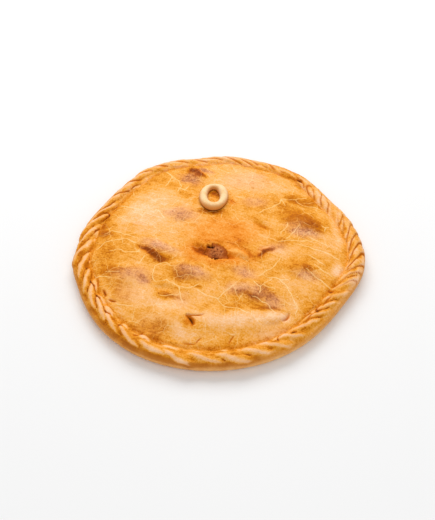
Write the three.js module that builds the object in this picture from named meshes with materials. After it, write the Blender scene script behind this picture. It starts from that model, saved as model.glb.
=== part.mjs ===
// A round empanada with a crust above and below: a domed lid, sealed to its base by a twisted rope of dough
// round the rim, with a vent torn in the middle where the baked filling shows, and a plain ring of dough laid
// on the lid. Millimetres, +Z up. The origin is the middle of the flat underside, and the front faces -Y.
import * as THREE from "three";

// Outline of the pie in plan: a circle, and the places where the hand-shaped edge swells or is pressed in
const PLAN_RADIUS = 145;
const SWELLS = [
  { at: 353, spread: 12, rise: 8 },
  { at: 35, spread: 9, rise: -5.5 },
  { at: 48, spread: 19, rise: 2.5 },
  { at: 85, spread: 5.5, rise: 3 },
  { at: 117, spread: 9, rise: 4.5 },
  { at: 148, spread: 10, rise: -3 },
  { at: 186, spread: 5.5, rise: 3 },
  { at: 235, spread: 25, rise: 6 },
  { at: 334, spread: 24, rise: -8 },
];

// Rope rim: an oval section whose turns are counted in degrees, from -90 underneath, over 90 at the crest, to
// the seam where the rope meets the lid
const ROPE_WIDTH = 20.5;
const ROPE_HEIGHT = 17.5;
const ROPE_SEAM_TURN = 134;
const ROPE_TURNS = [-90, -55, -20, 10, 32, 52, 70, 87, 104, 120, ROPE_SEAM_TURN];

// Crimps: each fold of the rope rises slowly to a ridge and drops steeply into the slit before the next fold
const CRIMPS = 48;
const CRIMP_RELIEF = 3.8;
const CRIMP_MEAN_LEVEL = 0.5;
const CRIMP_TWIST = 2.2;
const RELIEF_CREST_TURN = 86;
const RELIEF_SPREAD = 34;
const RELIEF_WALL_START = -40;
const RELIEF_WALL_END = 30;
const CRIMP_START = -5;
const CRIMP_WAVES = [
  { count: 1, swing: -10.3, phase: 41 },
  { count: 2, swing: 3.4, phase: -44 },
];
const CRIMP_COLUMNS = [0, 0.36, 0.7, 0.87];
const RIDGE_PLACE = 0.85;

// Lid: a low dome, flattened in the middle
const DOME_RISE = 13.3;
const DOME_SHOULDER = 2.2;
const DOME_FLATNESS = 0.75;
const LID_ROWS = [0.965, 0.92, 0.86, 0.8, 0.74, 0.68, 0.61, 0.53, 0.44, 0.35, 0.27, 0.2, 0.14, 0.09, 0.04];

// Blisters that the oven raised on the lid, the dents beside the vent, and the fold in the dough at the front
const BLISTERS = [
  { x: -60, y: -8, long: 26, wide: 16, turn: -38, rise: 3.2 },
  { x: -28, y: -38, long: 28, wide: 17, turn: -18, rise: 3.2 },
  { x: -22, y: 111, long: 24, wide: 17, turn: -55, rise: 4.2 },
  { x: -40, y: 43, long: 19, wide: 14, turn: -20, rise: 1.8 },
  { x: 90, y: 30, long: 27, wide: 21, turn: -20, rise: 3.4 },
  { x: 83, y: -33, long: 22, wide: 15, turn: -12, rise: 2.4 },
  { x: 36, y: -63, long: 34, wide: 21, turn: -22, rise: 3.4 },
  { x: -92, y: -38, long: 34, wide: 18, turn: -14, rise: 2.4 },
  { x: -80, y: 40, long: 34, wide: 24, turn: 40, rise: 1.6 },
  { x: 47, y: 95, long: 40, wide: 26, turn: -20, rise: 1.8 },
  { x: -45, y: -95, long: 28, wide: 20, turn: -20, rise: 2.6 },
  { x: 22, y: -18, long: 11, wide: 8, turn: -40, rise: 2.8 },
  { x: 9, y: -18, long: 11, wide: 6, turn: -35, rise: -3.6 },
  { x: -20, y: -8, long: 10, wide: 7.5, turn: -35, rise: -4.4 },
];
const FOLD = { x: 15, y: -96, long: 50, wide: 11, turn: 3, rise: 3.2 };
const BLISTER_ROUNDNESS = 2;
const FOLD_ROUNDNESS = 1.1;

// Vent: an oval tear with a slightly sunken lip and a flat-bottomed well
const VENT = { x: -3, y: -13, long: 9, wide: 10, turn: -10 };
const VENT_LIP_RISE = -1.4;
const VENT_LIP_SPREAD = 0.45;
const VENT_DEPTH = 9;
const VENT_WALL_SHARE = 0.9;
const VENT_FLOOR_SHARE = 0.8;

// Baked filling: a craggy plug in the well
const FILLING_CLEARANCE = 0.06;
const FILLING_COLUMNS = 24;
const FILLING_DROP = 2.6;
const FILLING_CROWN = 1.2;
const FILLING_CRAG = 0.7;
const FILLING_TOP_SHARES = [0.66, 0.4];

// Dough ring: a hand-rolled strip closed to an oval, laid flat on the lid
const RING = { x: -6, y: 66, across: 30, along: 42 };
const RING_STRIP_WIDTH = 8.6;
const RING_STRIP_HEIGHT = 7.4;
const RING_FLAT_SHARE = 0.5;
const RING_SWELLS = [
  { count: 1, share: 0.07, phase: 160 },
  { count: 2, share: 0.06, phase: 35 },
  { count: 3, share: 0.05, phase: 0 },
];
const RING_SIDES = 12;
const RING_STEPS = 40;

const CLEARANCE = 0.4;
const DRAW_SEED = 7;

const rad = THREE.MathUtils.degToRad;

// Shortest difference between two angles in degrees
function turnBetween(a, b) {
  return THREE.MathUtils.euclideanModulo(a - b + 180, 360) - 180;
}

// Radius of the pie's outermost edge at an angle in degrees
function outlineRadius(angle) {
  let radius = PLAN_RADIUS;
  for (const swell of SWELLS) {
    const offset = turnBetween(angle, swell.at) / swell.spread;
    radius += swell.rise * Math.exp(-0.5 * offset * offset);
  }
  return radius;
}

// Angle in degrees of a crimp given by its number, fractions counting along the fold
function crimpAngle(number) {
  const even = (360 * number) / CRIMPS;
  let angle = CRIMP_START + even;
  for (const wave of CRIMP_WAVES) angle += wave.swing * Math.sin(rad(wave.count * even - wave.phase));
  return angle;
}

// Height of a fold, 0 in the slit and 1 on the ridge, by the share of the fold that is passed
function foldLevel(share) {
  if (share < RIDGE_PLACE) return Math.sin((share / RIDGE_PLACE) * Math.PI * 0.5);
  return (1 - share) / (1 - RIDGE_PLACE);
}

// How wide the folds are near a crimp, compared with evenly spaced ones
function crimpStretch(number) {
  return ((crimpAngle(number + 0.5) - crimpAngle(number - 0.5)) * CRIMPS) / 360;
}

// The relief is deepest over the crest, and fades towards the outer wall and the seam with the lid
function reliefAt(turn) {
  const overCrest = Math.exp(-0.5 * ((turn - RELIEF_CREST_TURN) / RELIEF_SPREAD) ** 2);
  return CRIMP_RELIEF * overCrest * THREE.MathUtils.smoothstep(turn, RELIEF_WALL_START, RELIEF_WALL_END);
}

// A point of the rope's skin: the folds lean, so each crosses the rope over its neighbours' angles
function ropePoint(column, turn) {
  const share = CRIMP_COLUMNS[column % CRIMP_COLUMNS.length];
  const fold = Math.floor(column / CRIMP_COLUMNS.length) + share;
  const lean = (CRIMP_TWIST * (ROPE_SEAM_TURN - Math.max(turn, 0))) / ROPE_SEAM_TURN;
  const angle = crimpAngle(fold + lean);
  const lift = reliefAt(turn) * crimpStretch(fold) * (foldLevel(share) - CRIMP_MEAN_LEVEL);
  const outward = Math.cos(rad(turn));
  const upward = Math.sin(rad(turn));
  const radius = outlineRadius(angle) - (ROPE_WIDTH / 2) * (1 - outward) + lift * outward;
  const height = (ROPE_HEIGHT / 2) * (1 + upward) + lift * upward;
  return new THREE.Vector3(radius * Math.cos(rad(angle)), radius * Math.sin(rad(angle)), height);
}

// Radius of the seam between lid and rope, and its height
function seamRadius(angle) {
  return outlineRadius(angle) - (ROPE_WIDTH / 2) * (1 - Math.cos(rad(ROPE_SEAM_TURN)));
}
const SEAM_HEIGHT = (ROPE_HEIGHT / 2) * (1 + Math.sin(rad(ROPE_SEAM_TURN)));

// Distance from the middle of an oval, 1 on its edge
function ovalReach(x, y, oval) {
  const cos = Math.cos(rad(oval.turn));
  const sin = Math.sin(rad(oval.turn));
  const along = ((x - oval.x) * cos + (y - oval.y) * sin) / oval.long;
  const across = ((y - oval.y) * cos - (x - oval.x) * sin) / oval.wide;
  return Math.hypot(along, across);
}

// An oval swelling that ends smoothly at its edge
function swelling(x, y, oval, roundness) {
  const reach = ovalReach(x, y, oval);
  return reach < 1 ? oval.rise * (1 - reach * reach) ** roundness : 0;
}

// Height of the lid's skin over a point in plan
function lidHeight(x, y) {
  const reach = Math.hypot(x, y) / seamRadius(THREE.MathUtils.radToDeg(Math.atan2(y, x)));
  const dome = Math.max(0, 1 - reach ** DOME_SHOULDER) ** DOME_FLATNESS;
  const lip = Math.exp(-(((ovalReach(x, y, VENT) - 1) / VENT_LIP_SPREAD) ** 2));
  let height = SEAM_HEIGHT + DOME_RISE * dome + VENT_LIP_RISE * lip;
  for (const blister of BLISTERS) height += swelling(x, y, blister, BLISTER_ROUNDNESS);
  return height + swelling(x, y, FOLD, FOLD_ROUNDNESS);
}

// A point in plan on the vent's edge, or inside it by a share
function ventSpot(angle, share) {
  const direction = rad(angle - VENT.turn);
  const radius = share / Math.hypot(Math.cos(direction) / VENT.long, Math.sin(direction) / VENT.wide);
  return new THREE.Vector2(VENT.x + radius * Math.cos(rad(angle)), VENT.y + radius * Math.sin(rad(angle)));
}

// A point in plan on the lid, from the vent's edge at 0 to the seam with the rope at 1
function lidSpot(angle, along) {
  const seam = seamRadius(angle);
  const seamSpot = new THREE.Vector2(seam * Math.cos(rad(angle)), seam * Math.sin(rad(angle)));
  return ventSpot(angle, 1).lerp(seamSpot, along);
}

function columnAngle(column) {
  const fold = Math.floor(column / CRIMP_COLUMNS.length);
  return crimpAngle(fold + CRIMP_COLUMNS[column % CRIMP_COLUMNS.length]);
}

function onLid(spot) {
  return new THREE.Vector3(spot.x, spot.y, lidHeight(spot.x, spot.y));
}

const LID_TOP = SEAM_HEIGHT + DOME_RISE;
const VENT_FLOOR_HEIGHT = LID_TOP - VENT_DEPTH;

// A closed skin turned on a lathe from one profile, with each row's ring then set by its own rule
function turnedSkin(rows, columns) {
  const profile = rows.map((row) => {
    const start = row(0);
    return new THREE.Vector2(Math.hypot(start.x, start.y), start.z);
  });
  const skin = new THREE.LatheGeometry(profile, columns);
  const position = skin.attributes.position;
  for (let column = 0; column <= columns; column++) {
    rows.forEach((row, index) => {
      const point = row(column % columns);
      position.setXYZ(column * rows.length + index, point.x, point.y, point.z);
    });
  }
  skin.computeVertexNormals();
  return skin;
}

// Crust: base, rope rim, lid and vent well, baked together as one piece
function crustSkin() {
  const underside = () => new THREE.Vector3(0, 0, 0);
  const rope = ROPE_TURNS.map((turn) => (column) => ropePoint(column, turn));
  const lid = [...LID_ROWS, 0].map((along) => (column) => onLid(lidSpot(columnAngle(column), along)));
  const wall = (column) => {
    const edge = onLid(ventSpot(columnAngle(column), 1));
    const spot = ventSpot(columnAngle(column), VENT_WALL_SHARE);
    return new THREE.Vector3(spot.x, spot.y, (edge.z + VENT_FLOOR_HEIGHT) / 2);
  };
  const floor = (column) => {
    const spot = ventSpot(columnAngle(column), VENT_FLOOR_SHARE);
    return new THREE.Vector3(spot.x, spot.y, VENT_FLOOR_HEIGHT);
  };
  const middle = () => new THREE.Vector3(VENT.x, VENT.y, VENT_FLOOR_HEIGHT);
  return turnedSkin([underside, ...rope, ...lid, wall, floor, middle], CRIMPS * CRIMP_COLUMNS.length);
}

// Filling: fits the well with a little room all round, and its top is broken into crags
function fillingSkin() {
  THREE.MathUtils.seededRandom(DRAW_SEED);
  const crag = () => FILLING_CRAG * (2 * THREE.MathUtils.seededRandom() - 1);
  const crags = FILLING_TOP_SHARES.map(() => Array.from({ length: FILLING_COLUMNS }, crag));
  const top = LID_TOP - FILLING_DROP;
  const ring = (share, height) => (column) => {
    const spot = ventSpot((360 * column) / FILLING_COLUMNS, share - FILLING_CLEARANCE);
    return new THREE.Vector3(spot.x, spot.y, height);
  };
  const bottom = VENT_FLOOR_HEIGHT + CLEARANCE;
  const crown = FILLING_TOP_SHARES.map((share, index) => (column) => {
    const height = top + FILLING_CROWN * (1 - share * share) + crags[index][column];
    return ring(share, height)(column);
  });
  const rows = [
    () => new THREE.Vector3(VENT.x, VENT.y, bottom),
    ring(VENT_FLOOR_SHARE, bottom),
    ring(VENT_WALL_SHARE, top),
    ...crown,
    () => new THREE.Vector3(VENT.x, VENT.y, top + FILLING_CROWN),
  ];
  return turnedSkin(rows, FILLING_COLUMNS);
}

// Ring: a torus stretched to the oval, a little uneven in thickness, its underside following the lid
function ringSkin() {
  const skin = new THREE.TorusGeometry(RING.across, 1, RING_SIDES, RING_STEPS);
  const position = skin.attributes.position;
  const halfAcross = (RING.across - RING_STRIP_WIDTH) / 2;
  const halfAlong = (RING.along - RING_STRIP_WIDTH) / 2;
  const halfHeight = RING_STRIP_HEIGHT / (1 + RING_FLAT_SHARE);
  for (let i = 0; i < position.count; i++) {
    const turn = Math.atan2(position.getY(i), position.getX(i));
    const outward = Math.hypot(position.getX(i), position.getY(i)) - RING.across;
    const upward = Math.max(position.getZ(i), -RING_FLAT_SHARE) + RING_FLAT_SHARE;
    let swell = 1;
    for (const wave of RING_SWELLS) swell += wave.share * Math.sin(wave.count * turn + rad(wave.phase));
    const normal = new THREE.Vector2(halfAlong * Math.cos(turn), halfAcross * Math.sin(turn)).normalize();
    const x = RING.x + halfAcross * Math.cos(turn) + (normal.x * outward * swell * RING_STRIP_WIDTH) / 2;
    const y = RING.y + halfAlong * Math.sin(turn) + (normal.y * outward * swell * RING_STRIP_WIDTH) / 2;
    position.setXYZ(i, x, y, lidHeight(x, y) + CLEARANCE + upward * halfHeight * swell);
  }
  skin.computeVertexNormals();
  return skin;
}

function baked(name, skin, color, roughness) {
  const piece = new THREE.Mesh(skin, new THREE.MeshStandardMaterial({ color, roughness, metalness: 0 }));
  piece.name = name;
  return piece;
}

const empanada = new THREE.Group();
empanada.add(
  baked("crust", crustSkin(), 0xe8a454, 0.5),
  baked("vent_filling", fillingSkin(), 0x99562f, 0.6),
  baked("dough_ring", ringSkin(), 0xfad6a4, 0.6),
);

export default empanada;
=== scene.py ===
import math
import random

import bmesh
import bpy
import numpy as np
from mathutils import Matrix, Vector, noise


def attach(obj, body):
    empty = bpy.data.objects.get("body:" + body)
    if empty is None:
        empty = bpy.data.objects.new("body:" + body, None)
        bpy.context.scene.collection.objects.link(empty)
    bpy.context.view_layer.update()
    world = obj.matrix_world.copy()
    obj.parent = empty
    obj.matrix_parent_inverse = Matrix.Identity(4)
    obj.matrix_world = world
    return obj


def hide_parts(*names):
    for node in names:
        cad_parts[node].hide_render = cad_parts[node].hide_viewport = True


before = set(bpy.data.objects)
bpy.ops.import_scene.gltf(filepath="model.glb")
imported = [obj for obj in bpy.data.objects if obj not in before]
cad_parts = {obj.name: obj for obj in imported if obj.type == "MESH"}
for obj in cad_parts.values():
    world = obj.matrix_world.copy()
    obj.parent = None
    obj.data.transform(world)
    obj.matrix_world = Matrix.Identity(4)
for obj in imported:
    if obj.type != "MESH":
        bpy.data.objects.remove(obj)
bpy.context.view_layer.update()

# Crust: base, side, rope rim and lid of one egg-washed bread dough, baked together. The rope is the joined
# edge of base and lid, folded over itself crimp by crimp. The lid rose to a low dome, blistered and tore at
# the vent. Its skin is a plain grid rolled up to a closed form, from the underside to the vent's floor.
MM = 0.001
PLAN_RADIUS = 145.0
SWELLS = [
    (353, 12, 8),
    (35, 9, -5.5),
    (48, 19, 2.5),
    (85, 5.5, 3),
    (117, 9, 4.5),
    (148, 10, -3),
    (186, 5.5, 3),
    (235, 25, 6),
    (334, 24, -8),
]
ROPE_WIDTH = 20.5
ROPE_HEIGHT = 17.5
ROPE_SEAM_TURN = 134.0
CRIMPS = 48
CRIMP_START = -5.0
CRIMP_WAVES = [(1, -10.3, 41), (2, 3.4, -44)]
CRIMP_STRETCH = (266, 22, 12)
ROPE_MEAN_RADIUS = (ROPE_WIDTH + ROPE_HEIGHT) / 4
SEAM_HEIGHT = ROPE_HEIGHT / 2 * (1 + math.sin(math.radians(ROPE_SEAM_TURN)))


def by_angle(base, stretches, angle):
    """A base value with a smooth rise or fall round the rim at each stretch: middle, spread and rise."""
    value = np.full_like(angle, base)
    for at, spread, rise in stretches:
        offset = ((angle - at + 180) % 360 - 180) / spread
        value += rise * np.exp(-0.5 * offset**2)
    return value


def seam_radius(angle):
    """Distance in plan from the middle to the seam between rope and lid."""
    inward = 1 - math.cos(math.radians(ROPE_SEAM_TURN))
    return by_angle(PLAN_RADIUS, SWELLS, angle) - ROPE_WIDTH / 2 * inward


def rim_run(angle):
    """Length along the rim for an angle, the short way round."""
    return np.radians((angle + 180) % 360 - 180) * PLAN_RADIUS


def crimp_angle(number):
    """Angle round the rim of one of the rope's folds, which aren't quite evenly spaced."""
    even = 360 * number / CRIMPS
    waves = sum(swing * np.sin(np.radians(count * even - phase)) for count, swing, phase in CRIMP_WAVES)
    middle, spread, wider = CRIMP_STRETCH
    return CRIMP_START + even * (1 - wider / 180) + waves + wider * np.tanh((even - middle) / spread)


def smooth_step(low, high, value):
    """A soft step from 0 at one value to 1 at the other. Most pairs of values below are such steps."""
    share = np.clip((value - low) / (high - low), 0, 1)
    return share * share * (3 - 2 * share)


def bell(value):
    """A soft bump, 1 at nought and gone past 2 either way."""
    return np.exp(-(value**2))


def wander(x, y, size, seed):
    """Smooth noise between -1 and 1 over the plan, with bumps of about the given size."""
    spots = zip(np.ravel(x) / size, np.ravel(y) / size)
    return np.array([noise.noise(Vector((a, b, seed))) for a, b in spots]).reshape(np.shape(x))


def bumps(x, y, waves):
    """Smooth noises added up over the plan, each with its height, size and seed."""
    return sum(height * wander(x, y, size, seed) for height, size, seed in waves)


def strayed(x, y, waves):
    """Points of the plan moved about by smooth noise, each wave with its reach, size and two seeds."""
    moved_x = x + bumps(x, y, [(reach, size, seed) for reach, size, seed, _ in waves])
    moved_y = y + bumps(x, y, [(reach, size, seed) for reach, size, _, seed in waves])
    return moved_x, moved_y


# The lid's dome with its blisters and dents, each with middle, half length, half width, turn and rise
DOME_RISE = 13.3
DOME_SHOULDER = 2.2
DOME_FLATNESS = 0.75
LID_TOP = SEAM_HEIGHT + DOME_RISE
LID_BUMPS = [(0.4, 13, 9.1), (0.18, 5, 3.9), (0.08, 2.4, 6.9)]
BLISTERS = [
    (-60, -8, 26, 16, -38, 3.2),
    (-28, -38, 28, 17, -18, 3.2),
    (-22, 111, 24, 17, -55, 4.2),
    (-40, 43, 19, 14, -20, 1.8),
    (90, 30, 27, 21, -20, 3.4),
    (83, -33, 22, 15, -12, 2.4),
    (36, -63, 34, 21, -22, 3.4),
    (-92, -38, 34, 18, -14, 2.4),
    (-80, 40, 34, 24, 40, 1.6),
    (47, 95, 40, 26, -20, 1.8),
    (-45, -95, 28, 20, -20, 2.6),
    (23, -19, 13, 6, -42, 3.0),
    (9, -18, 11, 6, -35, -3.6),
    (-20, -8, 10, 7.5, -35, -4.4),
    (-55, -60, 13, 7, -15, -2.2),
    (43, 26, 14, 7, -30, -2.0),
    (46, -11, 11, 5, 38, 1.6),
    (80, 66, 16, 7, -5, -1.4),
]
BLISTER_STRAYS = [(3.0, 22, 1.7, 5.3)]
# The fold across the front of the lid, whose right-hand end is blunt, tapers and bends back
FOLD = (15, -97, 49, 9.5, 0)
FOLD_RISE = 2.8
FOLD_BEND = 5.5
FOLD_BEND_START = 25
FOLD_BEND_LENGTH = 40
FOLD_BEND_LIMIT = 1.2
FOLD_SWAYS = [(1.2, 15, 7.7)]
FOLD_TAPER = 0.5
FOLD_TIP = (0.45, 0.8)
FOLD_TIP_BULGE = 0.8
FOLD_FRONT_REACH = 2.3
FOLD_BACK_REACH = 2.2
FOLD_RIGHT_BLUNTNESS = 8
FOLD_LEFT_BLUNTNESS = 3
# Short creases, each with start, end, bow, half width, depth and darkness
CREASES = [
    (-32, -92.5, -25, -105, 1.5, 1.9, 4.2, 1.0),
    (-31.5, -92, -14, -93, -1.4, 0.9, 1.6, 0.6),
    (67, -86, 58, -97, 2.5, 1.4, 2.2, 0.45),
    (-108, -67, -100, -71.5, -0.6, 1.1, 1.8, 0.8),
    (-114.5, -54, -111, -64, 0.5, 1.2, 1.8, 0.9),
    (-121, -38, -119.5, -51, 0.4, 1.0, 1.2, 0.6),
    (-83, -111, -72, -109, -1.6, 1.1, 1.6, 0.8),
    (-36, -122, -22, -124, -0.6, 0.8, 1.0, 0.6),
    (-23, -124, -17, -117, 0.5, 0.8, 0.9, 0.6),
    (8, -125, 14, -115, 0.6, 0.8, 1.0, 0.6),
    (111, -52, 119, -46, 1.0, 1.0, 1.4, 0.7),
    (99, -77, 110, -64, 0.8, 0.9, 1.0, 0.6),
    (83, -94, 91, -86, 0.5, 0.9, 0.8, 0.5),
    (28, -11, 29, -24, 2.0, 1.2, 1.2, 0.6),
    (82, 104, 89, 99, 0.5, 2.2, 1.8, 1.0),
]
# The vent, torn in lobes, with its middle, half length, half width and turn
VENT = (-3, -13, 9, 10, -10)
VENT_LOBES = [(-32, 22, 0.4), (70, 30, -0.12), (142, 26, 0.35), (245, 28, 0.1)]
VENT_TEARS = [(0.4, 0.6, 71.0), (0.2, 0.2, 72.0)]
VENT_LIP_RISE = -1.4
VENT_LIP_SPREAD = 0.45
VENT_DEPTH = 9.0
VENT_FLOOR = LID_TOP - VENT_DEPTH


def oval_place(x, y, oval):
    """Places along and across an oval, 1 at its edge."""
    middle_x, middle_y, long, wide, turn = oval
    cos = math.cos(math.radians(turn))
    sin = math.sin(math.radians(turn))
    along = ((x - middle_x) * cos + (y - middle_y) * sin) / long
    across = ((y - middle_y) * cos - (x - middle_x) * sin) / wide
    return along, across


def oval_reach(x, y, oval):
    """How far out in an oval each point is, 1 at its edge."""
    return np.hypot(*oval_place(x, y, oval))


def crease_cut(x, y, start_x, start_y, end_x, end_y, bow, half_width):
    """How far into a bowed, pointed cut each point is: 1 along its middle, 0 outside."""
    length = math.hypot(end_x - start_x, end_y - start_y)
    run_x = (end_x - start_x) / length
    run_y = (end_y - start_y) / length
    share = ((x - start_x) * run_x + (y - start_y) * run_y) / length
    middle = np.clip(4 * share * (1 - share), 0, 1)
    aside = (y - start_y) * run_x - (x - start_x) * run_y - bow * middle
    return np.sqrt(middle) * bell(aside / half_width)


def fold_height(x, y):
    """Rise of the fold over points in plan."""
    bend = FOLD_BEND * np.clip((x - FOLD_BEND_START) / FOLD_BEND_LENGTH, 0, FOLD_BEND_LIMIT) ** 2
    along, across = oval_place(x, y - bend + bumps(x, y, FOLD_SWAYS), FOLD)
    across = across / (1 - FOLD_TAPER * np.clip(along, 0, 1) ** 3)
    tip = smooth_step(*FOLD_TIP, along)
    bulge = np.clip(1 - across**2, 0, 1) ** FOLD_TIP_BULGE
    front = tip * bulge + (1 - tip) * smooth_step(-FOLD_FRONT_REACH, 0, across)
    brow = np.where(across < 0, front, smooth_step(FOLD_BACK_REACH, 0, across))
    right_end = 1 - np.clip(along, 0, 1) ** FOLD_RIGHT_BLUNTNESS
    left_end = 1 - np.clip(-along, 0, 1) ** FOLD_LEFT_BLUNTNESS
    return FOLD_RISE * brow * right_end * left_end


def lid_height(x, y):
    """Height of the lid's skin over points in plan."""
    reach = np.hypot(x, y) / seam_radius(np.degrees(np.arctan2(y, x)))
    height = SEAM_HEIGHT + DOME_RISE * np.clip(1 - reach**DOME_SHOULDER, 0, 1) ** DOME_FLATNESS
    height += VENT_LIP_RISE * bell((oval_reach(x, y, VENT) - 1) / VENT_LIP_SPREAD)
    bent_x, bent_y = strayed(x, y, BLISTER_STRAYS)
    for *oval, rise in BLISTERS:
        height += rise * np.clip(1 - oval_reach(bent_x, bent_y, oval) ** 2, 0, 1) ** 2
    height += fold_height(x, y)
    for *line, depth, _ in CREASES:
        height -= depth * crease_cut(x, y, *line)
    return height + bumps(x, y, LID_BUMPS)


def vent_spot(angle, share):
    """Points in plan round the vent, at a share of the way out from its middle to the torn edge."""
    middle_x, middle_y, long, wide, turn = VENT
    out_x = np.cos(np.radians(angle))
    out_y = np.sin(np.radians(angle))
    torn = by_angle(1.0, VENT_LOBES, angle) + bumps(out_x, out_y, VENT_TEARS)
    from_long_side = np.radians(angle - turn)
    radius = share * torn / np.hypot(np.cos(from_long_side) / long, np.sin(from_long_side) / wide)
    return middle_x + radius * out_x, middle_y + radius * out_y


# The skin's rows: over the rope from the flat underside to the seam, then in over the lid to the vent.
# A point's reach is its way in over the skin from the rope's outermost line.
SKIN_COLUMNS = 576
ROPE_ROWS = 58
LID_ROWS = 104
VENT_ROW = ROPE_ROWS + LID_ROWS
skin_angle = (np.arange(SKIN_COLUMNS) * 360 / SKIN_COLUMNS)[None, :]
cos_angle = np.cos(np.radians(skin_angle))
sin_angle = np.sin(np.radians(skin_angle))
turn = np.linspace(-90, ROPE_SEAM_TURN, ROPE_ROWS)[:, None]
along = (1 - np.arange(1, LID_ROWS + 1) / LID_ROWS)[:, None]
seam = seam_radius(skin_angle)
rope_reach = np.radians(turn) * ROPE_MEAN_RADIUS
rope_end = rope_reach[-1]
reach_in = np.vstack([np.repeat(rope_reach, SKIN_COLUMNS, axis=1), rope_end + (1 - along) * seam])

# The rope's fingers and the beads inside them: oval lumps by an uneven hand, that lean across the rope and
# lap. A list called ROUND holds stretches of the rim, and a STRAY says how far the hand may be out.
CRIMP_STRAY = 0.15
FINGER_STRAY = 0.12
FINGER_TURN = 86.0
FINGER_TURN_STRAY = 8
FINGER_TURN_ROUND = [(0, 35, 12), (60, 30, 10), (135, 30, -14), (226, 16, -6), (264, 20, -22), (300, 15, 4)]
FINGER_TILT = -21.0
FINGER_TILT_STRAY = 7
FINGER_TILT_ROUND = [(5, 20, -16), (60, 24, 12), (130, 30, 9), (183, 14, -10), (228, 18, 11)]
FINGER_LENGTH = 22.0
FINGER_LENGTH_STRAY = 0.15
FINGER_LENGTH_ROUND = [(5, 25, -6.0), (262, 26, -3.0)]
FINGER_WIDTH = 4.6
FINGER_WIDTH_STRAY = 0.2
FINGER_WIDTH_ROUND = [(5, 22, 1.6), (60, 26, -0.8), (130, 30, 1.0)]
FINGER_WIDTH_ROUND += [(228, 20, -0.8), (262, 22, 1.0), (320, 20, -0.8)]
FINGER_RISE = 3.0
FINGER_RISE_STRAY = 0.2
FINGER_RISE_ROUND = [(3, 20, -2.2), (60, 24, -1.2), (98, 20, -0.5), (125, 30, -0.6), (290, 18, -0.5)]
BEAD_PLACE = 0.5
BEAD_STRAY = 0.15
BEAD_TURN = 121.0
BEAD_TURN_STRAY = 6
BEAD_TILT_STRAY = 25
BEAD_LENGTHS = (6.0, 11.0)
BEAD_WIDTH = 5.2
BEAD_WIDTH_SHARES = (0.8, 1.25)
BEAD_WIDTH_ROUND = [(228, 14, 2.0)]
BEAD_RISE = 2.1
BEAD_RISE_SHARES = (0.4, 1.2)
BEAD_RISE_ROUND = [(20, 50, -1.6), (100, 40, -1.7), (230, 16, 1.5), (268, 22, -0.9)]
SWAY_ALONG = [(2.2, 13, 61.0)]
SWAY_ACROSS = [(1.32, 11, 62.0), (0.55, 4, 63.0)]
LUMP_END_BULGE = 0.7
LUMP_OUTER_REACH = 1.5
LUMP_INNER_BULGE = 0.6
CREST_PLACE = -0.1
CREST_SPREAD = 0.38
LAP_EDGE = (-0.5, 0.1)
hand = random.Random(48)
spread_x = (PLAN_RADIUS - reach_in) * cos_angle
spread_y = (PLAN_RADIUS - reach_in) * sin_angle
sway_along = bumps(spread_x, spread_y, SWAY_ALONG)
sway_across = bumps(spread_x, spread_y, SWAY_ACROSS)


def stray(reach):
    """How far out the hand is this time, either way."""
    return hand.uniform(-reach, reach)


def lump(number, crest_turn, tilt, long, wide, rise):
    """Height of a lump and nearness to its crest, by its fold, turn, lean, half sizes and rise."""
    cos = math.cos(math.radians(tilt))
    sin = math.sin(math.radians(tilt))
    run = rim_run(skin_angle - crimp_angle(number)) + sway_along
    aside = reach_in - math.radians(crest_turn) * ROPE_MEAN_RADIUS + sway_across
    length_way = (run * cos + aside * sin) / long
    width_way = (aside * cos - run * sin) / wide
    ends = np.clip(1 - length_way**2, 0, 1) ** LUMP_END_BULGE
    outer_side = smooth_step(-LUMP_OUTER_REACH, 0, width_way)
    inner_side = (1 - np.clip(width_way, 0, 1) ** 2) ** LUMP_INNER_BULGE
    crest = ends * bell((width_way - CREST_PLACE) / CREST_SPREAD)
    return rise * ends * np.where(width_way < 0, outer_side, inner_side), crest


braid = np.zeros_like(reach_in)
beneath = np.zeros_like(reach_in)
ridge = np.zeros_like(reach_in)
for number in range(CRIMPS):
    at = crimp_angle(number + stray(CRIMP_STRAY))
    finger = lump(
        number + stray(FINGER_STRAY),
        by_angle(FINGER_TURN, FINGER_TURN_ROUND, at) + stray(FINGER_TURN_STRAY),
        by_angle(FINGER_TILT, FINGER_TILT_ROUND, at) + stray(FINGER_TILT_STRAY),
        by_angle(FINGER_LENGTH, FINGER_LENGTH_ROUND, at) * (1 + stray(FINGER_LENGTH_STRAY)),
        by_angle(FINGER_WIDTH, FINGER_WIDTH_ROUND, at) * (1 + stray(FINGER_WIDTH_STRAY)),
        by_angle(FINGER_RISE, FINGER_RISE_ROUND, at) * (1 + stray(FINGER_RISE_STRAY)),
    )
    bead = lump(
        number + BEAD_PLACE + stray(BEAD_STRAY),
        BEAD_TURN + stray(BEAD_TURN_STRAY),
        stray(BEAD_TILT_STRAY),
        hand.uniform(*BEAD_LENGTHS),
        by_angle(BEAD_WIDTH, BEAD_WIDTH_ROUND, at) * hand.uniform(*BEAD_WIDTH_SHARES),
        by_angle(BEAD_RISE, BEAD_RISE_ROUND, at) * hand.uniform(*BEAD_RISE_SHARES),
    )
    for height, crest in (finger, bead):
        shown = smooth_step(*LAP_EDGE, height - braid)
        ridge = np.maximum(ridge * (1 - shown), shown * crest)
        beneath = np.maximum(beneath, np.minimum(braid, height))
        braid = np.maximum(braid, height)

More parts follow.
